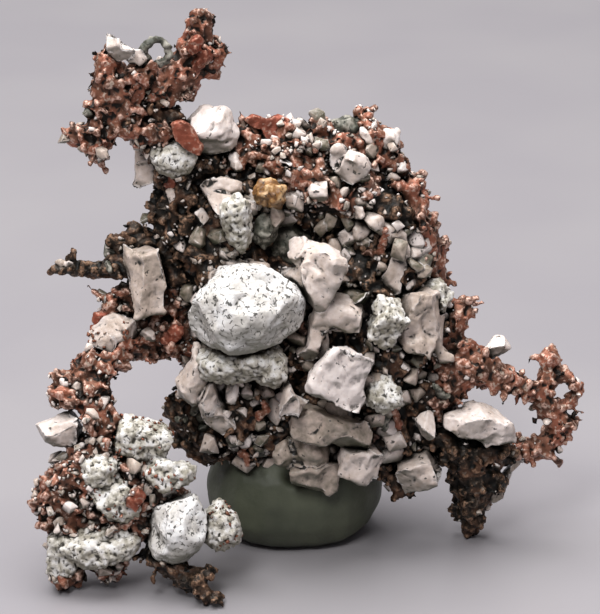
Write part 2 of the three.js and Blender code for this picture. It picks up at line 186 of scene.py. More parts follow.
def neighbour_mean(values: np.ndarray, edges: np.ndarray) -> np.ndarray:
    """Gives the mean of each corner's neighbours.

    Args:
        values: Three numbers for each corner.
        edges: The two corners of each edge.

    Returns:
        Three numbers for each corner.
    """
    ends = np.concatenate([edges[:, 0], edges[:, 1]])
    others = np.concatenate([edges[:, 1], edges[:, 0]])
    count = np.maximum(np.bincount(ends, minlength=len(values)), 1)
    sums = [np.bincount(ends, values[others, k], len(values)) for k in range(3)]
    return np.stack(sums, 1) / count[:, None]


@dataclass
class Skin:
    """A surface of triangles, in metres, with a tone from 0 to 1 at each corner."""

    corners: np.ndarray
    faces: np.ndarray
    tone: np.ndarray | None = None

    @classmethod
    def of_mesh(cls, mesh: bpy.types.Mesh) -> "Skin":
        """Reads the surface of a mesh.

        Args:
            mesh: The mesh.

        Returns:
            Its surface, without a tone.
        """
        mesh.calc_loop_triangles()
        faces = np.empty(len(mesh.loop_triangles) * 3, int)
        mesh.loop_triangles.foreach_get("vertices", faces)
        return cls(read_corners(mesh), faces.reshape(-1, 3))

    @classmethod
    def joined(cls, skins: list["Skin"]) -> "Skin":
        """Puts several surfaces in one, without merging them.

        Args:
            skins: The surfaces.

        Returns:
            One surface, whose tone is 0 where a surface has none.
        """
        starts = np.cumsum([0] + [len(skin.corners) for skin in skins])
        tones = [np.zeros(len(s.corners)) if s.tone is None else s.tone for s in skins]
        return cls(
            np.concatenate([skin.corners for skin in skins]),
            np.concatenate([skin.faces + start for skin, start in zip(skins, starts)]),
            np.concatenate(tones),
        )

    def spots(self, rng: np.random.Generator, per_mm2: float) -> tuple[np.ndarray, np.ndarray]:
        """Picks points spread evenly over the surface.

        Args:
            rng: Where the numbers come from.
            per_mm2: How many points on each square millimetre.

        Returns:
            The points, and the surface's outward direction at each.
        """
        a, b, c = (self.corners[self.faces[:, k]] for k in range(3))
        cross = np.cross(b - a, c - a)
        twice = np.linalg.norm(cross, axis=1)
        count = max(1, int(twice.sum() / 2 / MM**2 * per_mm2))
        picked = rng.choice(len(twice), count, p=twice / twice.sum())
        u, v = rng.random((2, count))
        over = u + v > 1
        u[over], v[over] = 1 - u[over], 1 - v[over]
        points = a[picked] + (b - a)[picked] * u[:, None] + (c - a)[picked] * v[:, None]
        return points, cross[picked] / np.maximum(twice[picked], 1e-12)[:, None]

    def mesh(self, name: str) -> bpy.types.Mesh:
        """Makes a Blender mesh of the surface, with its tone.

        Args:
            name: The mesh's name.

        Returns:
            The mesh.
        """
        mesh = bpy.data.meshes.new(name)
        mesh.vertices.add(len(self.corners))
        mesh.vertices.foreach_set("co", self.corners.ravel())
        mesh.loops.add(self.faces.size)
        mesh.loops.foreach_set("vertex_index", self.faces.ravel())
        mesh.polygons.add(len(self.faces))
        mesh.polygons.foreach_set("loop_start", np.arange(0, self.faces.size, 3))
        mesh.update(calc_edges=True)
        if self.tone is not None:
            write_values(mesh, "tone", self.tone)
        return mesh


CUBE = np.array([[x, y, z] for x in (-1, 1) for y in (-1, 1) for z in (-1, 1)], float)


@dataclass(frozen=True)
class Stamp:
    """A small convex shape of about unit size, to be put down many times."""

    corners: np.ndarray
    faces: np.ndarray

    @classmethod
    def hull(cls, corners: np.ndarray) -> "Stamp":
        """Wraps corners in their convex hull.

        Args:
            corners: The corners.

        Returns:
            The hull.
        """
        work = bmesh.new()
        for corner in corners:
            work.verts.new(corner)
        made = bmesh.ops.convex_hull(work, input=work.verts)
        loose = {v for v in made["geom_interior"] + made["geom_unused"] if isinstance(v, bmesh.types.BMVert)}
        bmesh.ops.delete(work, geom=list(loose), context="VERTS")
        bmesh.ops.triangulate(work, faces=work.faces)
        bmesh.ops.recalc_face_normals(work, faces=work.faces)
        return cls.from_work(work)

    @classmethod
    def from_work(cls, work: bmesh.types.BMesh) -> "Stamp":
        """Reads a shape of triangles, and frees it.

        Args:
            work: The shape.

        Returns:
            The same shape as a stamp.
        """
        work.verts.index_update()
        corners = np.array([v.co for v in work.verts])
        faces = np.array([[v.index for v in f.verts] for f in work.faces])
        work.free()
        return cls(corners, faces)

    @classmethod
    def chip(cls, rng: np.random.Generator) -> "Stamp":
        """Makes a broken cleavage block of calcite.

        Args:
            rng: Where the numbers come from.

        Returns:
            The block.
        """
        box = CUBE * (1 - 0.5 * rng.random((8, 3)) ** 2)
        extra = unit(rng.normal(size=(4, 3)))
        return cls.hull(np.concatenate([box, extra * 1.1]) * 0.5)

    @classmethod
    def shard(cls, rng: np.random.Generator) -> "Stamp":
        """Makes a broken grain with narrow worn edges between its flat faces.

        Args:
            rng: Where the numbers come from.

        Returns:
            The grain.
        """
        box = CUBE * (1 - 0.8 * rng.random((8, 3)))
        extra = rng.normal(size=(8, 3))
        extra *= rng.uniform(0.7, 1.25, (8, 1)) / np.linalg.norm(extra, axis=1)[:, None]
        rough = cls.hull(np.concatenate([box, extra]) * 0.5)
        work = bmesh.new()
        corners = [work.verts.new(corner) for corner in rough.corners]
        for face in rough.faces:
            work.faces.new([corners[i] for i in face])
        flat = math.radians(12)
        bmesh.ops.dissolve_limit(work, angle_limit=flat, verts=work.verts, edges=work.edges)
        worn = {"offset": 0.035, "segments": 1, "affect": "EDGES", "clamp_overlap": True}
        bmesh.ops.bevel(work, geom=work.edges[:], **worn)
        bmesh.ops.triangulate(work, faces=work.faces)
        return cls.from_work(work)

    @classmethod
    def gravel(cls, rng: np.random.Generator) -> "Stamp":
        """Makes an angular crumb."""
        corners = unit(rng.normal(size=(11, 3)))
        return cls.hull(corners * rng.uniform(0.35, 0.62, (11, 1)))

    @classmethod
    def nodule(cls, rng: np.random.Generator) -> "Stamp":
        """Makes a rounded lump of metal.

        Args:
            rng: Where the numbers come from.

        Returns:
            The lump.
        """
        work = bmesh.new()
        bmesh.ops.create_icosphere(work, subdivisions=1, radius=0.5)
        ball = cls.from_work(work)
        return cls(ball.corners * (0.75 + 0.5 * rng.random((len(ball.corners), 1))), ball.faces)

    def put_down(
        self, places: np.ndarray, sizes: np.ndarray, rotations: np.ndarray, tones: np.ndarray
    ) -> Skin:
        """Puts copies of the shape down.

        Args:
            places: The centre of each copy.
            sizes: The size of each copy along its own three axes.
            rotations: A rotation matrix for each copy.
            tones: A tone for each copy.

        Returns:
            One surface that holds all the copies.
        """
        local = self.corners[None] * sizes[:, None, :]
        corners = np.einsum("nij,nkj->nki", rotations, local) + places[:, None, :]
        starts = np.arange(len(places)) * len(self.corners)
        faces = self.faces[None] + starts[:, None, None]
        return Skin(corners.reshape(-1, 3), faces.reshape(-1, 3), np.repeat(tones, len(self.corners)))


def strewn(
    grit: str, places: np.ndarray, sizes: np.ndarray, tones: np.ndarray, rng: np.random.Generator
) -> Skin:
    """Strews small pieces of a dozen shapes, turned at random.

    Args:
        grit: Which kind of piece: "chip", "shard", "gravel" or "nodule".
        places: The centre of each piece.
        sizes: The size of each piece along its own three axes.
        tones: A tone for each piece.
        rng: Where the numbers come from.

    Returns:
        One surface that holds all the pieces.
    """
    stamps = [getattr(Stamp, grit)(rng) for _ in range(SHAPES)]
    which = rng.integers(len(stamps), size=len(places))
    rotations = turns(rng, len(places))
    parts = []
    for k, stamp in enumerate(stamps):
        mine = which == k
        if mine.any():
            parts.append(stamp.put_down(places[mine], sizes[mine], rotations[mine], tones[mine]))
    return Skin.joined(parts)


def tree_of(places: np.ndarray) -> KDTree:
    """Sorts places so that the ones near a point are found quickly.

    Args:
        places: The places.

    Returns:
        The sorted places.
    """
    tree = KDTree(len(places))
    for i, place in enumerate(places):
        tree.insert(place, i)
    tree.balance()
    return tree


@dataclass(frozen=True)
class Relief:
    """A layer of bumps that pushes a surface in and out.

    Args:
        pattern: A Blender texture type.
        width: The width of one bump in millimetres.
        height: The whole height of the bumps in millimetres.
    """

    pattern: str
    width: float
    height: float

    def add_to(self, obj: bpy.types.Object) -> None:
        """Adds the bumps to an object as a modifier.

        Args:
            obj: The object.
        """
        texture = bpy.data.textures.new(f"{self.pattern}_{self.width}", self.pattern)
        texture.noise_scale = self.width * MM
        if self.pattern == "CLOUDS":
            texture.noise_depth = 2
        bumps = obj.modifiers.new(self.pattern, "DISPLACE")
        bumps.texture = texture
        bumps.texture_coords = "LOCAL"
        bumps.strength = self.height * MM


@dataclass(frozen=True)
class Facets:
    """Flat faces that are struck off the edges and knobs of a surface.

    Args:
        per_mm2: How many on each square millimetre.
        width: The widths of the smallest and largest, in millimetres.
        depth: How deep one goes, as a share of how far the surface falls away around it.
        tilt: How far one leans from the surface, from 0 to 1.
        least_fall: The least that the surface falls away, as a share of the width. Flats aren't struck.
        most_rise: The most that it rises above the place, as a share of the width. Hollows aren't struck.
    """

    per_mm2: float
    width: tuple[float, float]
    depth: float = 0.9
    tilt: float = 0.3
    least_fall: float = 0.1
    most_rise: float = 0.3

    def strike(self, skin: Skin, corners: np.ndarray, rng: np.random.Generator) -> np.ndarray:
        """Strikes the faces off.

        Args:
            skin: The surface on which the faces are spread.
            corners: The corners to move.
            rng: Where the numbers come from.

        Returns:
            The moved corners.
        """
        corners = corners.copy()
        tree = tree_of(skin.corners)
        places, out = skin.spots(rng, self.per_mm2)
        widths = rng.uniform(*self.width, len(places)) * MM
        lean = unit(out + rng.normal(size=out.shape) * self.tilt)
        for place, way, width in zip(places, lean, widths):
            near = [found[1] for found in tree.find_range(place, width)]
            offset = corners[near] - place
            height = offset @ way
            fall = -height.mean()
            if fall < self.least_fall * width or height.max() > self.most_rise * width:
                continue
            over = np.maximum(height + self.depth * fall, 0)
            fade = np.clip((width - np.linalg.norm(offset, axis=1)) / (0.3 * width), 0, 1)
            corners[near] -= way * (over * fade)[:, None]
        return corners


@dataclass(frozen=True)
class Finish:
    """How a node's plain solid is turned into a fine surface.

    Args:
        voxel: The size of the fine grid in millimetres.
        swell: How far the surface is moved out first, in millimetres.
        rounding: How many times the surface is smoothed before the broad bumps.
        form: The broad bumps, made before the faces.
        facets: The flat faces.
        relief: The fine bumps, made last.
        soft: How many times the surface is smoothed before the fine bumps.
        keep: The share of the triangles that is kept, most of them where the surface bends.
    """

    voxel: float
    swell: float = 0.0
    rounding: int = 0
    form: tuple[Relief, ...] = ()
    facets: tuple[Facets, ...] = ()
    relief: tuple[Relief, ...] = ()
    soft: int = 1
    keep: float = 0.5

    def fine(self, name: str, skin: Skin) -> bpy.types.Object:
        """Makes the fine surface of a plain one.

        Args:
            name: The new object's name.
            skin: The plain surface.

        Returns:
            The fine object, standing on the floor and not in it.
        """
        made = show(name, skin.mesh(name))
        grid = made.modifiers.new("grid", "REMESH")
        grid.mode = "VOXEL"
        grid.voxel_size = self.voxel * MM
        if self.swell:
            swell = made.modifiers.new("swell", "DISPLACE")
            swell.strength = self.swell * MM
            swell.mid_level = 0
        if self.rounding:
            self.add_smoothing(made, self.rounding)
        for bumps in self.form:
            bumps.add_to(made)
        self.bake(made)
        corners = read_corners(made.data)
        rng = seeded(name)
        plain = Skin.of_mesh(made.data)
        for facets in self.facets:
            corners = facets.strike(plain, corners, rng)
        write_corners(made.data, corners)
        if self.soft:
            self.add_smoothing(made, self.soft)
        for bumps in self.relief:
            bumps.add_to(made)
        self.bake(made)
        corners = read_corners(made.data)
        corners[:, 2] = np.maximum(corners[:, 2], FLOOR)
        write_corners(made.data, corners)
        self.mark_hollows(made.data, corners)
        made.modifiers.new("thin_out", "DECIMATE").ratio = self.keep
        self.bake(made)
        made.data.shade_smooth()
        return made

    @staticmethod
    def add_smoothing(obj: bpy.types.Object, rounds: int) -> None:
        """Adds a modifier that smooths an object.

        Args:
            obj: The object.
            rounds: How many times it is smoothed.
        """
        soft = obj.modifiers.new("soft", "SMOOTH")
        soft.iterations = rounds
        soft.factor = 0.5

    @staticmethod
    def bake(obj: bpy.types.Object) -> None:
        """Makes an object's modifiers part of its mesh.

        Args:
            obj: The object.
        """
        graph = bpy.context.evaluated_depsgraph_get()
        mesh = bpy.data.meshes.new_from_object(obj.evaluated_get(graph))
        obj.modifiers.clear()
        old, obj.data = obj.data, mesh
        bpy.data.meshes.remove(old)

    @staticmethod
    def mark_hollows(mesh: bpy.types.Mesh, corners: np.ndarray) -> None:
        """Writes how deep each corner lies under the smoothed surface, in millimetres, at two scales.

        Args:
            mesh: The mesh.
            corners: Its corners.
        """
        edges = np.empty(len(mesh.edges) * 2, int)
        mesh.edges.foreach_get("vertices", edges)
        edges = edges.reshape(-1, 2)
        out = np.empty(len(corners) * 3)
        mesh.vertex_normals.foreach_get("vector", out)
        out = out.reshape(-1, 3)
        smooth = corners
        for scale, rounds in (("fine_hollow", 5), ("hollow", 25)):
            for _ in range(rounds):
                smooth = neighbour_mean(smooth, edges) * RELAX + smooth * (1 - RELAX)
            depth = ((smooth - corners) * out).sum(1) / MM
            write_values(mesh, scale, depth)


# --------------------------------------------------------------------------------------------------
# Materials


def add(
    tree: bpy.types.NodeTree,
    kind: str,
    inputs: dict[str | int, object] | None = None,
    stops: list[tuple[float, str]] | None = None,
    **settings: object,
) -> bpy.types.Node:
    """Adds a shader node.

    Args:
        tree: The material's node tree.
        kind: The node's type, without its ShaderNode prefix.
        inputs: A value, or a socket to link from, for each named or numbered input.
        stops: The places and hex colours of a colour ramp.
        settings: The node's own settings.

    Returns:
        The node.
    """
    made = tree.nodes.new("ShaderNode" + kind)
    for key, value in settings.items():
        setattr(made, key, value)
    for key, value in (inputs or {}).items():
        if isinstance(value, bpy.types.NodeSocket):
            tree.links.new(value, made.inputs[key])
        else:
            made.inputs[key].default_value = value
    if stops:
        ramp = made.color_ramp.elements
        while len(ramp) < len(stops):
            ramp.new(0.5)
        for element, (place, colour) in zip(ramp, stops):
            element.position = place
            element.color = linear(colour)
    return made


def new_material(name: str) -> tuple[bpy.types.Material, bpy.types.NodeTree]:
    """Starts a material with an empty node tree.

    Args:
        name: The material's name.

    Returns:
        The material and its node tree.
    """
    material = bpy.data.materials.new(name)
    material.use_nodes = True
    material.node_tree.nodes.clear()
    return material, material.node_tree


def per_mm(millimetres: float) -> float:
    """Gives the noise scale whose features are this wide, where one unit of space is a metre."""
    return 1 / (millimetres * MM)


def dirt_and_painted_shade(
    tree: bpy.types.NodeTree,
    fine: tuple[float, float],
    broad: tuple[float, float],
    reach_mm: float,
    openness: tuple[float, float] = (0.62, 0.12),
) -> bpy.types.NodeSocket:
    """Finds where dirt gathers and where shade is painted: in pits, in hollows, and where pieces meet.

    Args:
        tree: The material's node tree.
        fine: The depths in millimetres at which a pit starts to darken and is fully dark.
        broad: The same for a hollow.
        reach_mm: How near another surface must be, in millimetres.
        openness: The share of open sky at which a seam starts to darken and is fully dark.

    Returns:
        How much dirt and painted shade the surface has, from 0 to 1.
    """
    # Pits and hollows darken with dirt and painted shade; near other surfaces, ambient occlusion adds painted
    # shade.
    shades = []
    for scale, (start, end) in (("fine_hollow", fine), ("hollow", broad)):
        depth = add(tree, "Attribute", attribute_name=scale).outputs["Fac"]
        shades.append(add(tree, "MapRange", {"Value": depth, "From Min": start, "From Max": end}).outputs[0])
    sky = add(tree, "AmbientOcclusion", {"Distance": reach_mm * MM}, samples=6).outputs["AO"]
    seams = add(tree, "MapRange", {"Value": sky, "From Min": openness[0], "From Max": openness[1]}).outputs[0]
    both = add(tree, "Math", {0: shades[0], 1: shades[1]}, operation="MAXIMUM").outputs[0]
    return add(tree, "Math", {0: both, 1: seams}, operation="MAXIMUM").outputs[0]


def edge_wear_and_highlight(tree: bpy.types.NodeTree, radius_mm: float) -> bpy.types.NodeSocket:
    """Finds the edges between a stone's faces, where a rounded edge would face another way.

    Args:
        tree: The material's node tree.
        radius_mm: How far from an edge the wear reaches, in millimetres.

    Returns:
        How near an edge the surface is, from 0 to 1.
    """
    rounded = add(tree, "Bevel", {"Radius": radius_mm * MM}, samples=4).outputs[0]
    plain = add(tree, "NewGeometry").outputs["Normal"]
    agree = add(tree, "VectorMath", {0: rounded, 1: plain}, operation="DOT_PRODUCT").outputs["Value"]
    return add(tree, "MapRange", {"Value": agree, "From Min": 0.985, "From Max": 0.9}).outputs[0]


def finished(
    material: bpy.types.Material,
    colour: bpy.types.NodeSocket,
    bumps: bpy.types.NodeSocket,
    bump_mm: float,
    settings: dict[str, object],
) -> bpy.types.Material:
    """Joins a colour and fine bumps in a principled shader.

    Args:
        material: The material.
        colour: Its colour.
        bumps: The height of its bumps, from 0 to 1.
        bump_mm: The height of the tallest bump in millimetres.
        settings: The shader's other inputs.

    Returns:
        The material.
    """
    tree = material.node_tree
    bump = add(tree, "Bump", {"Height": bumps, "Distance": bump_mm * MM, "Strength": 0.8})
    inputs = {"Base Color": colour, "Normal": bump.outputs[0], **settings}
    shader = add(tree, "BsdfPrincipled", inputs)
    add(tree, "OutputMaterial", {"Surface": shader.outputs[0]})
    return material


@dataclass(frozen=True)
class GrownCopper:
    """Native copper, grown in rock and etched clean: dull, rubbed and with a painted highlight on the ridges,
    dark with oxide and painted shade in the hollows.
    """

    name: str = "native_copper_etched"
    # The hollow colour is oxide and painted shade.
    hollow: str = "1a120b"
    tarnish: str = "563a2d"
    body: str = "8a5b46"
    fresh: str = "a0634d"
    # The tip colour is rubbed metal and a painted highlight.
    tip: str = "e4bfae"
    dust: str = "cbb8a8"

    def build(self) -> bpy.types.Material:
        """Builds the material.

        Returns:
            The material.
        """
        material, tree = new_material(self.name)
        space = add(tree, "TexCoord").outputs["Object"]
        grain, patches, specks = (
            add(tree, "TexNoise", {"Vector": space, "Scale": per_mm(width), "Detail": detail}).outputs[0]
            for width, detail in ((0.45, 4.0), (3.2, 3.0), (0.8, 2.0))
        )
        # Tarnish lies in patches a few millimetres wide, from dark brown to fresh red.
        stops = [(0.36, self.tarnish), (0.49, self.body), (0.62, self.fresh)]
        colour = add(tree, "ValToRGB", {"Fac": patches}, stops).outputs[0]
        # Mineral dust is caught in the rough skin as pale specks.
        caught = {"Value": specks, "From Min": 0.59, "From Max": 0.65, "To Max": 0.75}
        dusty = add(tree, "MapRange", caught).outputs[0]
        # Ridges and points are rubbed to pale, pinkish metal; the pale colour is also a painted highlight.
        depth = add(tree, "Attribute", attribute_name="fine_hollow").outputs["Fac"]
        ridge = add(tree, "MapRange", {"Value": depth, "From Min": -0.025, "From Max": -0.1}).outputs[0]
        uneven = add(tree, "MapRange", {"Value": grain, "From Min": 0.4, "From Max": 0.6}).outputs[0]
        rubbed_and_highlit = add(tree, "Math", {0: ridge, 1: uneven}, operation="MULTIPLY").outputs[0]
        # Hollows and seams turn black-brown: partly oxide, partly painted shade where pieces meet and in deep
        # hollows.
        oxide_and_painted_shade = dirt_and_painted_shade(tree, (0.03, 0.12), (0.14, 0.5), 3.5, (0.72, 0.26))
        for share, over in ((dusty, self.dust), (rubbed_and_highlit, self.tip), (oxide_and_painted_shade, self.hollow)):
            colour = add(tree, "Mix", {0: share, 6: colour, 7: linear(over)}, data_type="RGBA").outputs[2]
        rough = add(tree, "MapRange", {"Value": grain, "To Min": 0.36, "To Max": 0.7}).outputs[0]
        return finished(material, colour, grain, 0.12, {"Metallic": 0.45, "Roughness": rough})


@dataclass(frozen=True)
class GrownStone:
    """A pale mineral, waxy or sugary, with clouds of colour, specks in its pits and a little light inside.

    Args:
        name: The material's name.
        under: The colour of the faces that look down: a painted green-grey shade.
        dark: The colour of the darkest clouds.
        body: The colour of most of the surface.
        light: The colour of the lightest clouds.
        edge: The colour of the worn edges between faces, which is also a painted highlight.
        speck: The colour of the specks, and of the dirt and painted shade in hollows and seams.
        speck_mm: The width of a speck in millimetres.
        speck_share: How much of the surface the specks take, from 0 to 1.
        cloud_mm: The width of a cloud in millimetres.
        roughness: How dull the surface is.
        glow: The share of the light that goes into the mineral.
        by_tone: Whether each small piece has its own tone.
    """

    name: str
    under: str
    dark: str
    body: str
    light: str
    edge: str
    speck: str
    speck_mm: float
    speck_share: float
    cloud_mm: float
    roughness: float
    glow: float
    by_tone: bool = False

    def build(self) -> bpy.types.Material:
        """Builds the material.

        Returns:
            The material.
        """
        material, tree = new_material(self.name)
        space = add(tree, "TexCoord").outputs["Object"]
        broad = {"Vector": space, "Scale": per_mm(self.cloud_mm), "Detail": 4.0}
        clouds = add(tree, "TexNoise", broad).outputs[0]
        places = (0.38, 0.5, 0.6)
        if self.by_tone:
            soft = add(tree, "MapRange", {"Value": clouds, "To Min": -0.35, "To Max": 0.4}).outputs[0]
            mottle = add(tree, "TexNoise", {"Vector": space, "Scale": per_mm(0.8), "Detail": 4.0}).outputs[0]
            fine = add(tree, "MapRange", {"Value": mottle, "To Min": -0.3, "To Max": 0.35}).outputs[0]
            both = add(tree, "Math", {0: soft, 1: fine}).outputs[0]
            tone = add(tree, "Attribute", attribute_name="tone").outputs["Fac"]
            clouds = add(tree, "Math", {0: tone, 1: both}).outputs[0]
            places = (0.0, 0.5, 1.0)
        stops = list(zip(places, (self.dark, self.body, self.light)))
        colour = add(tree, "ValToRGB", {"Fac": clouds}, stops).outputs[0]
        pitting = {"Vector": space, "Scale": per_mm(self.speck_mm), "Detail": 2.0}
        specks = add(tree, "TexNoise", pitting).outputs[0]
        # Faces that look down get a painted green-grey shade.
        facing = add(tree, "NewGeometry").outputs["Normal"]
        upward = add(tree, "SeparateXYZ", {0: facing}).outputs["Z"]
        underside_shade_range = {"Value": upward, "From Min": 0.08, "From Max": -0.6, "To Max": 0.9}
        painted_underside_shade = add(tree, "MapRange", underside_shade_range).outputs[0]
        # Edges are bruised white, so each face has a pale rim, which is also a painted highlight.
        worn = add(tree, "Math", {0: edge_wear_and_highlight(tree, 0.3), 1: 0.75}, operation="MULTIPLY").outputs[0]
        # Pits, hollows and seams darken to the speck colour: dirt and painted shade.
        grime_and_painted_shade = dirt_and_painted_shade(tree, (0.025, 0.1), (0.12, 0.45), 2.6, (0.74, 0.28))
        layers = [(painted_underside_shade, self.under), (worn, self.edge), (grime_and_painted_shade, self.speck)]
        if self.speck_share:
            layers.insert(0, (self.dashes(tree, space), self.speck))
        for share, over in layers:
            colour = add(tree, "Mix", {0: share, 6: colour, 7: linear(over)}, data_type="RGBA").outputs[2]
        settings = {
            "Roughness": self.roughness,
            "IOR": 1.55,
            "Subsurface Weight": self.glow,
            "Subsurface Radius": (1.0, 0.9, 0.8),
            "Subsurface Scale": 1.0 * MM,
        }
        return finished(material, colour, specks, 0.16, settings)

    def dashes(self, tree: bpy.types.NodeTree, space: bpy.types.NodeSocket) -> bpy.types.NodeSocket:
        """Makes the specks: short, thin, curved dashes, where two patterns agree.

        Args:
            tree: The material's node tree.
            space: The place on the object.

        Returns:
            Where the dashes are, from 0 to 1.
        """
        wide, narrow = per_mm(self.speck_mm * 2.2), per_mm(self.speck_mm * 1.3)
        swirl = add(tree, "TexNoise", {"Vector": space, "Scale": wide, "Detail": 1.0}).outputs[0]
        away = add(tree, "Math", {0: swirl, 1: 0.5}, operation="SUBTRACT").outputs[0]
        near = add(tree, "Math", {0: away}, operation="ABSOLUTE").outputs[0]
        line = add(tree, "MapRange", {"Value": near, "From Min": 0.05, "From Max": 0.022}).outputs[0]
        patchy = add(tree, "TexNoise", {"Vector": space, "Scale": narrow, "Detail": 1.0}).outputs[0]
        edge = 0.72 - 0.32 * self.speck_share
        ends = {"Value": patchy, "From Min": edge, "From Max": edge + 0.04, "To Max": 0.9}
        cuts = add(tree, "MapRange", ends).outputs[0]
        return add(tree, "Math", {0: line, 1: cuts}, operation="MULTIPLY").outputs[0]


@dataclass(frozen=True)
class KneadedPutty:
    """Oil putty, kneaded and pressed by hand: dark green, dull, with a soft shine and small dents."""

    name: str = "oil_putty_kneaded"

    def build(self) -> bpy.types.Material:
        """Builds the material.

        Returns:
            The material.
        """
        material, tree = new_material(self.name)
        space = add(tree, "TexCoord").outputs["Object"]
        pores = add(tree, "TexNoise", {"Vector": space, "Scale": per_mm(0.6), "Detail": 3.0}).outputs[0]
        streaks = add(tree, "TexNoise", {"Vector": space, "Scale": per_mm(7), "Detail": 3.0}).outputs[0]
        stops = [(0.35, "44483b"), (0.65, "585c4b")]
        colour = add(tree, "ValToRGB", {"Fac": streaks}, stops).outputs[0]
        # Hollows and the seam under the nugget darken to near black: painted shade.
        grime_and_painted_shade = dirt_and_painted_shade(tree, (0.05, 0.3), (0.2, 0.8), 3.0)
        colour = add(tree, "Mix", {0: grime_and_painted_shade, 6: colour, 7: linear("15160f")}, data_type="RGBA").outputs[2]
        rough = add(tree, "MapRange", {"Value": pores, "To Min": 0.42, "To Max": 0.7}).outputs[0]
        return finished(material, colour, pores, 0.08, {"Roughness": rough, "IOR": 1.45})


@dataclass(frozen=True)
class FrostedAcrylic:
    """The shelf: frosted acrylic sheet, pale grey with a trace of lilac, with a faint soft reflection."""

    name: str = "frosted_acrylic_shelf"

    def build(self) -> bpy.types.Material:
        """Builds the material.

        Returns:
            The material.
        """
        material, tree = new_material(self.name)
        space = add(tree, "TexCoord").outputs["Object"]
        frost = add(tree, "TexNoise", {"Vector": space, "Scale": per_mm(3), "Detail": 3.0}).outputs[0]
        cast = add(tree, "TexNoise", {"Vector": space, "Scale": per_mm(60), "Detail": 2.0}).outputs[0]
        stops = [(0.4, "9b979b"), (0.6, "9f9b9e")]
        colour = add(tree, "ValToRGB", {"Fac": cast}, stops).outputs[0]
        return finished(material, colour, frost, 0.002, {"Roughness": 0.24, "IOR": 1.49})


class Look(Enum):
    """The materials, by what a piece is made of."""

    # Copper on the outer limbs is rubbed and red, lighter than the shaded copy below.
    COPPER = GrownCopper()
    # Copper in the shade of the specimen is a darker, browner copy of the copper, with its shade painted into
    # every colour.
    DARK_COPPER = GrownCopper(
        "native_copper_shaded", "0b0906", "1c1710", "36291e", "573b2a", "98775f", "6f6257"
    )
    # A leaf's flat faces are rubbed clean, so it is redder and lighter.
    LEAF = GrownCopper("native_copper_leaf", "2c1810", "6d3a2a", "8a4834", "9d5440", "cb9079", "a88676")
    # Cleaved spar is waxy and lets some light in, which softens its shaded side.
    SPAR = GrownStone(
        "calcite_spar_cleaved", "464a39", "5e5a48", "cfbcae", "fbeee8", "fff8f4", "1c1b14",
        0.7, 0.25, 3.0, 0.4, 0.12, True,
    )
    # Sugary quartz is white and dull, and its pits hold dark specks.
    SUGAR = GrownStone(
        "quartz_sugary", "77776a", "dcd7d0", "ebe7e3", "f5f3f1", "fbf9f8", "2e2b23",
        0.5, 0.7, 3.0, 0.6, 0.08,
    )
    # A drusy crust is cream at its crystal tips, with brown-green dirt and painted shade between the
    # crystals.
    DRUSY = GrownStone(
        "quartz_drusy", "7a7766", "a59e8e", "dcd6cb", "f4f1ed", "fdfbfa", "332e23",
        0.45, 0.45, 1.4, 0.55, 0.06,
    )
    # Chlorite crust is grey-green, with quartz grains through it.
    CHLORITE = GrownStone(
        "chlorite_crust", "363830", "46483d", "6f6d61", "a39e92", "c4bfb4", "1f2018",
        0.6, 0.6, 1.3, 0.6, 0.0,
    )
    # Iron stain turns quartz golden brown, darker in its cracks.
    GILT = GrownStone(
        "quartz_iron_stained", "4f381c", "6d4822", "a07340", "d6b184", "ecd2ae", "2b1b0d",
        0.7, 0.5, 1.2, 0.45, 0.0,
    )
    PUTTY = KneadedPutty()
    SHELF = FrostedAcrylic()

    @property
    def material(self) -> bpy.types.Material:
        """Gives the material, and builds it when it is first asked for."""
        return bpy.data.materials.get(self.value.name) or self.value.build()


# --------------------------------------------------------------------------------------------------
# Pieces


def dress(obj: bpy.types.Object, look: Look, slot: str, *nodes: str) -> None:
    """Gives a piece its material, and says what it stands for.

    Args:
        obj: The piece.
        look: Its material.
        slot: The record's material slot.
        nodes: The CAD nodes that it replaces.
    """
    obj.data.materials.clear()
    obj.data.materials.append(look.material)
    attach(obj, ROOT)
    if nodes:
        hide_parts(*nodes)
    LOG.info("%s: %d faces, %s", obj.name, len(obj.data.polygons), slot)


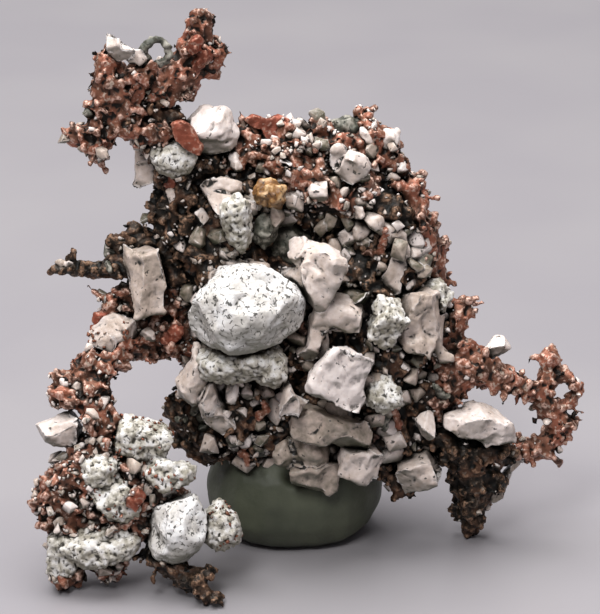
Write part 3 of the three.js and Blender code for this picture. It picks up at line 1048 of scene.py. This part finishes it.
@dataclass
class CopperLimb:
    """One limb of the copper: hackly metal, with lumps and short twigs grown all over it.

    Args:
        node: The limb's CAD node.
        look: The limb's material.
        voxel: The size of its fine grid in millimetres.
        swell: How far its surface is moved out, in millimetres.
        lumps: Hackly lumps on each square millimetre.
        lump_mm: The width of the largest lump in millimetres.
        twigs: Short twigs on each square millimetre.
        crumbs: Calcite crumbs on each square millimetre.
        rubble: Broken grains, larger than crumbs, on each square millimetre.
        rubble_mm: The width of the largest broken grain in millimetres.
    """

    node: str
    look: Look = Look.COPPER
    voxel: float = 0.28
    swell: float = -0.15
    lumps: float = 0.3
    lump_mm: float = 2.4
    twigs: float = 0.05
    crumbs: float = 0.175
    rubble: float = 0.01
    rubble_mm: float = 3.0

    def build(self) -> Skin:
        """Builds the limb.

        Returns:
            The limb's fine surface, to strew crumbs on.
        """
        rng = seeded(self.node)
        plain = Skin.of_mesh(frame["nodes"][self.node].data)
        rough = Skin.joined([plain, self.lump_skin(plain, rng), self.twig_skin(plain, rng)])
        finish = Finish(
            self.voxel,
            swell=self.swell,
            form=(Relief("CLOUDS", 2.4, 1.3), Relief("VORONOI", 1.8, -0.9)),
            facets=(Facets(0.3, (0.7, 1.5), 0.7, 0.4),),
            relief=(Relief("CLOUDS", 0.8, 0.35),),
            soft=0,
        )
        limb = finish.fine(self.node + "_hackly", rough)
        dress(limb, self.look, "copper", self.node)
        return Skin.of_mesh(limb.data)

    def lump_skin(self, plain: Skin, rng: np.random.Generator) -> Skin:
        """Makes the hackly lumps that sit half in the metal.

        Args:
            plain: The limb's plain surface.
            rng: Where the numbers come from.

        Returns:
            The lumps' surface.
        """
        places, out = plain.spots(rng, self.lumps)
        width = rng.uniform(0.4, 1.0, (len(places), 1)) * self.lump_mm
        sizes = width * rng.uniform(0.5, 1.2, (len(places), 3)) * MM
        return strewn("chip", places + out * sizes[:, :1] * 0.1, sizes, np.zeros(len(places)), rng)

    def twig_skin(self, plain: Skin, rng: np.random.Generator) -> Skin:
        """Makes short twigs, each a run of shrinking nodules.

        Args:
            plain: The limb's plain surface.
            rng: Where the numbers come from.

        Returns:
            The twigs' surface.
        """
        places, out = plain.spots(rng, self.twigs)
        lean = unit(out + rng.normal(size=out.shape) * 0.45)
        runs = []
        for step, width in enumerate((1.4, 1.25, 1.1, 1.0)):
            lean = lean + rng.normal(size=lean.shape) * 0.25
            keep = rng.random(len(places)) > 0.15 * step
            places, lean = places[keep] + lean[keep] * 0.5 * MM, lean[keep]
            sizes = width * rng.uniform(0.75, 1.3, (len(places), 3)) * MM
            runs.append(strewn("nodule", places, sizes, np.zeros(len(places)), rng))
        return Skin.joined(runs)


@dataclass
class Grain:
    """One grain, or grains grown together: its CAD solid with broken faces and fine relief.

    Args:
        node: The grain's CAD node.
        slot: The record's material slot.
        look: The grain's material.
        finish: How the surface is made.
        tone: How light the grain is, from 0 to 1.
    """

    node: str
    slot: str
    look: Look
    finish: Finish
    tone: float = 0.7

    def build(self) -> Skin:
        """Builds the grain, a little larger than its solid, so that it meets the metal around it.

        Returns:
            The grain's fine surface.
        """
        skin = Skin.of_mesh(frame["nodes"][self.node].data)
        grain = self.finish.fine(self.node + "_grain", skin)
        write_values(grain.data, "tone", np.full(len(grain.data.vertices), self.tone))
        dress(grain, self.look, self.slot, self.node)
        return Skin.of_mesh(grain.data)


def tone_by_nearest(mesh: bpy.types.Mesh, places: np.ndarray, tones: np.ndarray) -> None:
    """Gives each corner of a mesh the tone of the piece whose centre is nearest.

    Args:
        mesh: The mesh.
        places: The centre of each piece.
        tones: The tone of each piece.
    """
    tree = tree_of(places)
    write_values(mesh, "tone", tones[[tree.find(corner)[1] for corner in read_corners(mesh)]])


@cache
def surface_of(*nodes: str) -> BVHTree:
    """Gives the surface of CAD nodes, to land small pieces on.

    Args:
        nodes: The nodes.

    Returns:
        Their triangles, sorted for quick searches.
    """
    skin = Skin.joined([Skin.of_mesh(frame["nodes"][node].data) for node in nodes])
    return BVHTree.FromPolygons(skin.corners.tolist(), skin.faces.tolist())


@dataclass(frozen=True)
class Bed:
    """The show side of a CAD node, as a place where small pieces gather at random.

    Args:
        node: The node.
        per_cm2: Pieces on each square centimetre of the node's box, seen from the front.
        size: The sizes of the smallest and largest piece in millimetres.
        tone: The tones of the darkest and lightest piece.
    """

    node: str
    per_cm2: float
    size: tuple[float, float] = (1.6, 3.0)
    tone: tuple[float, float] = (0.4, 0.9)

    def draw(self, rng: np.random.Generator) -> tuple[np.ndarray, np.ndarray, np.ndarray]:
        """Draws pieces where the node is the first thing met from the front.

        Args:
            rng: Where the numbers come from.

        Returns:
            Their places, sizes in metres and tones.
        """
        low, high = (np.array(corner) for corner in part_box(self.node))
        wide, _, tall = (high - low) / CM
        starts = rng.uniform(low, high, (math.ceil(wide * tall * self.per_cm2), 3))
        starts[:, 1] = CAD_BOX[0][1] - MM
        inward = Vector((0, 1, 0))
        places = []
        for start in starts:
            place = surface_of(self.node).ray_cast(Vector(start), inward)[0]
            first = surface_of(*sorted(frame["nodes"])).ray_cast(Vector(start), inward)[0]
            if place and (place - first).length < 0.1 * MM:
                places.append(place)
        sizes = rng.uniform(*self.size, len(places)) * MM
        tones = rng.uniform(*self.tone, len(places))
        return np.array(places).reshape(-1, 3), sizes, tones


@dataclass(frozen=True)
class Curl:
    """A stalk that stands up where two limbs meet, and curls over at its end.

    Args:
        limbs: The limbs' CAD nodes.
        stalk: The height of the stalk in millimetres.
        curl: The radius of the curl in millimetres.
        sweep: How far the curl turns, in degrees.
    """

    limbs: tuple[str, str]
    stalk: float = 5.0
    curl: float = 2.0
    sweep: float = 270.0

    def bends(self) -> np.ndarray:
        """Finds its foot in the middle of what the limbs' boxes share, and bends it over.

        Returns:
            The foot, the top of the stalk and points round the curl, in metres.
        """
        lows, highs = (np.array(corners) for corners in zip(*(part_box(limb) for limb in self.limbs)))
        middle = Vector((lows.max(axis=0) + highs.min(axis=0)) / 2)
        foot = np.array(surface_of(*self.limbs).find_nearest(middle)[0])
        turn = np.radians(np.linspace(180, 180 - self.sweep, 8))
        across = self.curl * (1 + np.cos(turn))
        up = self.stalk + self.curl * np.sin(turn)
        return np.concatenate([foot[None], foot + np.stack([across, 0 * turn, up], 1) * MM])


@dataclass
class Growth:
    """Small pieces on several beds, joined in one piece.

    Args:
        name: The name of the whole.
        look: Their material.
        slot: The record's material slot.
        beds: Where they gather.
    """

    name: str
    look: Look
    slot: str
    beds: list[Bed]


@dataclass
class Sprigs(Growth):
    """Thin bent twigs, each a row of nodules along a bent line. A bed's sizes are the twigs' lengths.

    Args:
        radius: A twig's radius at its foot, in millimetres.
        curls: The stalks that curl over.
    """

    radius: float = 0.8
    curls: tuple[Curl, ...] = ()

    def build(self) -> None:
        """Builds the twigs as one piece."""
        rng = seeded(self.name)
        lines = [curl.bends() for curl in self.curls]
        for bed in self.beds:
            feet, lengths, _ = bed.draw(rng)
            lines += [self.wander(foot, length, rng) for foot, length in zip(feet, lengths)]
        rows = [self.beads(line, self.radius * MM) for line in lines]
        places = np.concatenate([row[0] for row in rows])
        width = np.concatenate([row[1] for row in rows])[:, None] * BEAD_WIDTH
        places = places + rng.normal(0, 0.15 * MM, places.shape)
        sizes = width * rng.uniform(0.75, 1.2, places.shape)
        skin = strewn("nodule", places, sizes, np.zeros(len(places)), rng)
        finish = Finish(0.2, form=(Relief("CLOUDS", 1.4, 0.5),), relief=(Relief("CLOUDS", 0.6, 0.2),), soft=0)
        dress(finish.fine(self.name, skin), self.look, self.slot)

    @staticmethod
    def wander(foot: np.ndarray, length: float, rng: np.random.Generator) -> np.ndarray:
        """Makes a line that leaves a place sideways and turns as it goes.

        Args:
            foot: The place.
            length: The line's length.
            rng: Where the numbers come from.

        Returns:
            The line's bends, from the foot on.
        """
        heading = rng.uniform(0, 2 * math.pi) + np.cumsum(rng.normal(0, 0.7, 4))
        steps = np.stack([np.cos(heading), rng.uniform(-0.5, 0.1, 4), np.sin(heading)], 1) * length / 4
        return foot + np.concatenate([np.zeros((1, 3)), np.cumsum(steps, axis=0)])

    @staticmethod
    def beads(bends: np.ndarray, radius: float) -> tuple[np.ndarray, np.ndarray]:
        """Spaces nodules evenly along a bent line, thinner towards its end.

        Args:
            bends: The bends.
            radius: The radius at the start.

        Returns:
            The nodules' centres and radii.
        """
        steps = np.linalg.norm(np.diff(bends, axis=0), axis=1)
        along = np.concatenate([[0], np.cumsum(steps)])
        at = np.linspace(0, along[-1], 2 + int(along[-1] / BEAD_STEP))
        centres = np.stack([np.interp(at, along, bends[:, k]) for k in range(3)], 1)
        return centres, radius * np.linspace(1, 0.75, len(at))


@dataclass
class Chips(Growth):
    """Small broken grains."""

    def build(self) -> None:
        """Builds the grains as one piece."""
        rng = seeded(self.name)
        places, widths, tones = (np.concatenate(part) for part in zip(*(bed.draw(rng) for bed in self.beds)))
        sizes = widths[:, None] * rng.uniform(0.7, 1.25, places.shape)
        ragged = (Relief("CLOUDS", 2.2, 0.9),)
        finish = replace(CLEAVED, voxel=0.22, swell=0.1, rounding=1, form=ragged, facets=CLEAVED.facets[1:])
        made = finish.fine(self.name, strewn("shard", places, sizes, tones, rng))
        tone_by_nearest(made.data, places, tones)
        dress(made, self.look, self.slot)


@dataclass
class Loose:
    """Small calcite and quartz pieces, strewn in clumps over the limbs and grains.

    Args:
        name: The name of the whole.
        look: Their material.
        slot: The record's material slot.
        tone: The mean tone.
        places: The centres of the pieces strewn so far.
        sizes: Their sizes.
    """

    name: str
    look: Look = Look.SPAR
    slot: str = "calcite"
    tone: float = 0.5
    places: list[np.ndarray] = field(default_factory=list)
    sizes: list[np.ndarray] = field(default_factory=list)

    def strew(self, skin: Skin, per_mm2: float, width: tuple[float, float], clump_mm: float) -> None:
        """Strews pieces over a surface, in clumps.

        Args:
            skin: The surface.
            per_mm2: Pieces on each square millimetre.
            width: The widths of the smallest and largest in millimetres.
            clump_mm: The width of a clump in millimetres.
        """
        rng = seeded(f"{self.name}{len(self.places)}")
        places, out = skin.spots(rng, per_mm2 * DRAWN)
        clump = np.array([perlin(Vector(place) / (clump_mm * MM)) for place in places])
        keep = clump + rng.normal(0, 0.15, len(places)) > 0.03
        places, out = places[keep], out[keep]
        span_mm = width[0] * (width[1] / width[0]) ** (rng.random((len(places), 1)) ** 1.5)
        self.places.append(places + out * span_mm * 0.1 * MM)
        self.sizes.append(span_mm * rng.uniform(0.55, 1.15, (len(places), 3)) * MM)

    def build(self, grit: str = "gravel") -> None:
        """Builds all the pieces as one.

        Args:
            grit: Which kind of piece they are.
        """
        rng = seeded(self.name)
        places, sizes = np.concatenate(self.places), np.concatenate(self.sizes)
        tones = np.clip(rng.normal(self.tone, 0.3, len(places)), 0.05, 1)
        skin = strewn(grit, places, sizes, tones, rng)
        skin.corners[:, 2] = np.maximum(skin.corners[:, 2], FLOOR)
        dress(show(self.name, skin.mesh(self.name)), self.look, self.slot)


@dataclass
class PuttyFoot:
    """The lump of putty that holds the nugget, with the dents of the fingers that pressed it."""

    node: str = "putty_foot"

    def build(self) -> None:
        """Builds the putty."""
        finish = Finish(0.6, form=(Relief("CLOUDS", 7.0, 0.9),), relief=(Relief("CLOUDS", 1.5, 0.1),), soft=5)
        putty = finish.fine("putty_kneaded", Skin.of_mesh(frame["nodes"][self.node].data))
        dress(putty, Look.PUTTY, "putty", self.node)


# Limbs in the shade of the specimen take the shaded copy of the copper, whose darker colours are painted
# shade.
LIMBS = [
    CopperLimb("copper_body", Look.DARK_COPPER, voxel=0.4, crumbs=0.21, rubble=0.09, rubble_mm=4.6),
    CopperLimb("copper_neck", Look.DARK_COPPER, crumbs=0.154, rubble=0.03),
    CopperLimb("copper_horn", swell=-0.2, lump_mm=1.8, crumbs=0.035, rubble=0.002),
    CopperLimb("copper_column", swell=-0.2, lump_mm=2, crumbs=0.042, rubble=0.006),
    CopperLimb("copper_crest", crumbs=0.21, rubble=0.06),
    CopperLimb("copper_wall", crumbs=0.035, rubble=0.005),
    CopperLimb("copper_spike", Look.DARK_COPPER, swell=-0.1, lump_mm=1.3, crumbs=0.035, rubble=0.006),
    CopperLimb("copper_arch", crumbs=0.105, rubble=0.02),
    CopperLimb("copper_lobe", crumbs=0.35, rubble=0.1),
    CopperLimb("copper_tail", Look.DARK_COPPER, swell=-0.1, lump_mm=1.5, crumbs=0.014, rubble=0.0),
    CopperLimb("copper_underside", Look.DARK_COPPER, crumbs=0.07),
    CopperLimb("copper_arm", swell=-0.1, lump_mm=1.5, crumbs=0.014, rubble=0.003),
    CopperLimb("copper_tooth", Look.DARK_COPPER, crumbs=0.021, rubble=0.008),
]

CLEAVED = Finish(
    0.25,
    swell=0.45,
    rounding=3,
    form=(Relief("CLOUDS", 8.0, 2.0), Relief("CLOUDS", 4.0, 0.9)),
    facets=(Facets(0.12, (2.5, 5.0), 0.9, 0.2, 0.12, 0.2), Facets(0.5, (0.8, 1.8), 0.8, 0.35, 0.15, 0.15)),
    relief=(Relief("CLOUDS", 1.6, 0.3), Relief("CLOUDS", 0.6, 0.16)),
    soft=0,
)
SUGARY = Finish(
    0.24,
    swell=0.25,
    rounding=4,
    form=(Relief("CLOUDS", 3.5, 1.4),),
    facets=(Facets(0.4, (0.6, 1.6), 0.8, 0.4),),
    relief=(Relief("VORONOI", 0.9, -0.6), Relief("CLOUDS", 0.6, 0.45)),
    soft=0,
)
SANDED = Finish(
    0.24,
    swell=0.2,
    rounding=4,
    form=(Relief("CLOUDS", 7.0, 1.8),),
    facets=(Facets(0.03, (3.0, 6.0), 0.8, 0.15),),
    relief=(Relief("CLOUDS", 1.1, 0.3), Relief("VORONOI", 0.8, -0.2)),
    soft=0,
)
CRUSTED = Finish(
    0.24,
    swell=0.25,
    rounding=4,
    form=(Relief("CLOUDS", 3.0, 1.6),),
    facets=(Facets(0.4, (0.6, 1.6), 0.8, 0.5),),
    relief=(Relief("VORONOI", 1.2, -0.6), Relief("CLOUDS", 0.6, 0.2)),
    soft=0,
)
LEAFY = Finish(0.2, form=(Relief("CLOUDS", 2.5, 0.8),), relief=(Relief("CLOUDS", 0.8, 0.25),))
DRESSES = {
    "calcite": (Look.SPAR, CLEAVED),
    "sugar_quartz": (Look.DRUSY, SUGARY),
    "chlorite": (Look.CHLORITE, CRUSTED),
    "gilt": (Look.GILT, CRUSTED),
    "bright_copper": (Look.LEAF, LEAFY),
}
# Some nodes are dressed in their own way: the shelf is stained calcite, and the glassy grain is dark spar.
OWN_DRESSES = {
    "calcite_shelf": (Look.SPAR, CLEAVED),
    "glassy_grain_mid": (Look.SPAR, replace(CLEAVED, facets=CLEAVED.facets[:1])),
    "quartz_pebble": (Look.SUGAR, SANDED),
    "quartz_lobe_boulder": (Look.SUGAR, SANDED),
    "quartz_back_boulder": (Look.SUGAR, SANDED),
    "quartz_ledge": (Look.DRUSY, SUGARY),
    "drusy_lobe_cluster": (Look.DRUSY, SUGARY),
}
FLECKED = ("drusy_lobe_top", "drusy_lobe_cluster", "drusy_lobe_crust", "calcite_arch_grain")
TONES = {
    "calcite_slab": 1.0,
    "milky_calcite_column": 0.65,
    "calcite_ovoid": 0.75,
    "calcite_cobble_low": 0.7,
    "calcite_cobble_right": 0.6,
    "calcite_bead_right": 0.7,
    "calcite_wedge_mid": 0.6,
    "calcite_shelf": 0.28,
    "calcite_tablets_right": 0.5,
    "calcite_lobes_left": 0.65,
    "calcite_crumbs_upper_right": 0.6,
    "glassy_grain_mid": 0.02,
    "tooth_grains": 0.3,
    "calcite_spike_grain": 0.45,
    "calcite_arch_grain": 0.6,
    "calcite_lobe_pale": 0.75,
    "calcite_crown_boulder": 0.85,
    "milky_calcite_neck": 0.5,
    "calcite_brow": 0.6,
}


# Twigs of metal and crust, where the limbs are bare enough to show them.
TWIGS = [
    Sprigs(
        "chlorite_curl",
        Look.CHLORITE,
        "chlorite",
        [Bed("copper_underside", 1.5, (3.0, 6.0)), Bed("copper_arm", 0.3, (2.0, 4.0))],
        curls=(Curl(("copper_horn", "copper_column")),),
    ),
    Sprigs(
        "copper_twigs",
        Look.COPPER,
        "copper",
        [
            Bed("copper_body", 0.8, (3.0, 7.0)),
            Bed("copper_crest", 1.0, (2.5, 5.0)),
            Bed("copper_arm", 0.5, (2.0, 4.0)),
        ],
    ),
    Sprigs(
        "red_copper_nodules",
        Look.LEAF,
        "bright_copper",
        [Bed(limb, 0.7, (2.0, 4.0)) for limb in ("copper_neck", "copper_lobe", "copper_horn", "copper_arch")],
        radius=1.2,
    ),
]

# Small grains that are too many for nodes of their own: dense and pale on the crest and the lobe, larger and
# greyer low down, few on the thin limbs.
CHIPS = [
    Chips(
        "calcite_chips",
        Look.SPAR,
        "calcite",
        [
            Bed("copper_crest", 5.0, (1.4, 3.4), (0.55, 0.95)),
            Bed("copper_lobe", 4.0, (1.2, 2.8), (0.55, 0.95)),
            Bed("copper_body", 4.0, (1.6, 4.2), (0.25, 0.85)),
            Bed("copper_neck", 2.0, (1.4, 3.0), (0.4, 0.9)),
            Bed("copper_wall", 1.5, (1.2, 2.4), (0.6, 0.9)),
            Bed("copper_column", 1.2, (1.4, 2.4), (0.3, 0.85)),
            Bed("copper_horn", 1.0, (1.2, 2.0), (0.6, 0.9)),
            Bed("copper_arch", 1.5, (1.4, 3.0), (0.3, 0.85)),
            Bed("copper_spike", 1.0, (1.4, 3.0), (0.2, 0.6)),
            Bed("copper_arm", 1.5, (1.1, 2.6), (0.65, 0.9)),
            Bed("copper_tooth", 1.5, (1.8, 4.0), (0.1, 0.5)),
        ],
    ),
    Chips(
        "chlorite_chips",
        Look.CHLORITE,
        "chlorite",
        [
            Bed("copper_body", 1.0, (1.8, 4.0)),
            Bed("copper_spike", 1.5, (1.6, 3.0)),
            Bed("copper_neck", 0.8, (1.6, 3.2)),
            Bed("copper_column", 0.8, (1.6, 2.8)),
            Bed("copper_arch", 1.0, (1.8, 3.6)),
            Bed("copper_underside", 2.0, (1.8, 3.6)),
            Bed("copper_lobe", 1.0, (1.8, 3.4)),
        ],
    ),
]


def slot_of(node: str) -> str:
    """Gives the record's material slot of a CAD node."""
    return next(s["material_slot"] for s in frame["record"]["subparts"] if s["node"] == node)


@dataclass
class Nugget:
    """The whole specimen."""

    def build(self) -> None:
        """Builds every piece."""
        crumbs = Loose("calcite_crumbs", tone=0.5)
        rubble = Loose("calcite_rubble", tone=0.48)
        flecks = Loose("copper_flecks", Look.COPPER, "copper")
        for limb in LIMBS:
            skin = limb.build()
            crumbs.strew(skin, limb.crumbs, (0.6, 1.6), 3.0)
            rubble.strew(skin, limb.rubble, (1.1, limb.rubble_mm), 7.0)
        for node in sorted(frame["nodes"]):
            slot = slot_of(node)
            if slot not in DRESSES:
                continue
            look, finish = OWN_DRESSES.get(node, DRESSES[slot])
            skin = Grain(node, slot, look, finish, TONES.get(node, 0.7)).build()
            if node in FLECKED:
                flecks.strew(skin, 0.22, (0.5, 1.2), 3.0)
        crumbs.build()
        rubble.build("shard")
        flecks.build()
        for twigs in TWIGS:
            twigs.build()
        for chips in CHIPS:
            chips.build()
        PuttyFoot().build()


# --------------------------------------------------------------------------------------------------
# Studio


@dataclass
class Studio:
    """The shelf, the lights and the camera.

    Args:
        elevation: The camera's angle above the shelf, in degrees.
        distance: How far the camera stands from its target, in metres.
        aim_across: Where it looks from the left side of the model's box, at 0, to its right side, at 1.
        aim_up: Where it looks from the bottom of the model's box, at 0, to its top, at 1.
        view_share: The height of what it sees, as a share of the model's height.
    """

    elevation: float = 22.0
    distance: float = 0.5
    aim_across: float = 0.48
    aim_up: float = 0.44
    view_share: float = 1.11

    @property
    def target(self) -> Vector:
        """Gives the point that the camera looks at, in metres."""
        low, high = (Vector(corner) for corner in CAD_BOX)
        return Vector((low.x + (high.x - low.x) * self.aim_across, 0, low.z + (high.z - low.z) * self.aim_up))

    def build(self) -> None:
        """Builds the studio."""
        self.shelf()
        self.camera()
        self.light("ceiling_softbox", (-0.1, 0.12, 1.1), 1.0, 21.0)
        self.light("front_softbox", (-0.2, -0.6, 0.8), 0.3, 4.4)
        world = bpy.data.worlds.new("studio_air")
        world.use_nodes = True
        air = world.node_tree.nodes["Background"]
        air.inputs["Color"].default_value = linear("dcd9de")
        air.inputs["Strength"].default_value = 0.25
        bpy.context.scene.world = world
        bpy.context.scene.view_settings.view_transform = "Standard"

    def shelf(self) -> None:
        """Lays the shelf."""
        half = 2.0
        mesh = bpy.data.meshes.new("shelf")
        corners = [(-half, -half, 0), (half, -half, 0), (half, half, 0), (-half, half, 0)]
        mesh.from_pydata(corners, [], [(0, 1, 2, 3)])
        mesh.materials.append(Look.SHELF.material)
        shelf = show("shelf", mesh)

    def camera(self) -> None:
        """Stands the camera."""
        data = bpy.data.cameras.new("camera")
        data.sensor_width = 36
        low, high = CAD_BOX
        data.lens = data.sensor_width * self.distance / ((high[2] - low[2]) * self.view_share)
        data.clip_start = 0.01
        camera = show("camera", data)
        up = math.radians(self.elevation)
        away = Vector((0, -math.cos(up), math.sin(up))) * self.distance
        camera.location = self.target + away
        camera.rotation_euler = (-away).to_track_quat("-Z", "Y").to_euler()
        bpy.context.scene.camera = camera

    def light(self, name: str, place: tuple[float, float, float], size: float, power: float) -> None:
        """Hangs a soft light that points at the nugget.

        Args:
            name: The light's name.
            place: Where it hangs, in metres.
            size: The side of its square face, in metres.
            power: Its power in watts.
        """
        data = bpy.data.lights.new(name, "AREA")
        data.size = size
        data.energy = power
        light = show(name, data)
        light.location = place
        aim = self.target - Vector(place)
        light.rotation_euler = aim.to_track_quat("-Z", "Y").to_euler()


def main() -> None:
    """Builds the nugget and the studio."""
    logging.basicConfig(level=logging.INFO, format="%(name)s: %(message)s")
    Nugget().build()
    Studio().build()


if __name__ == "__main__":
    main()
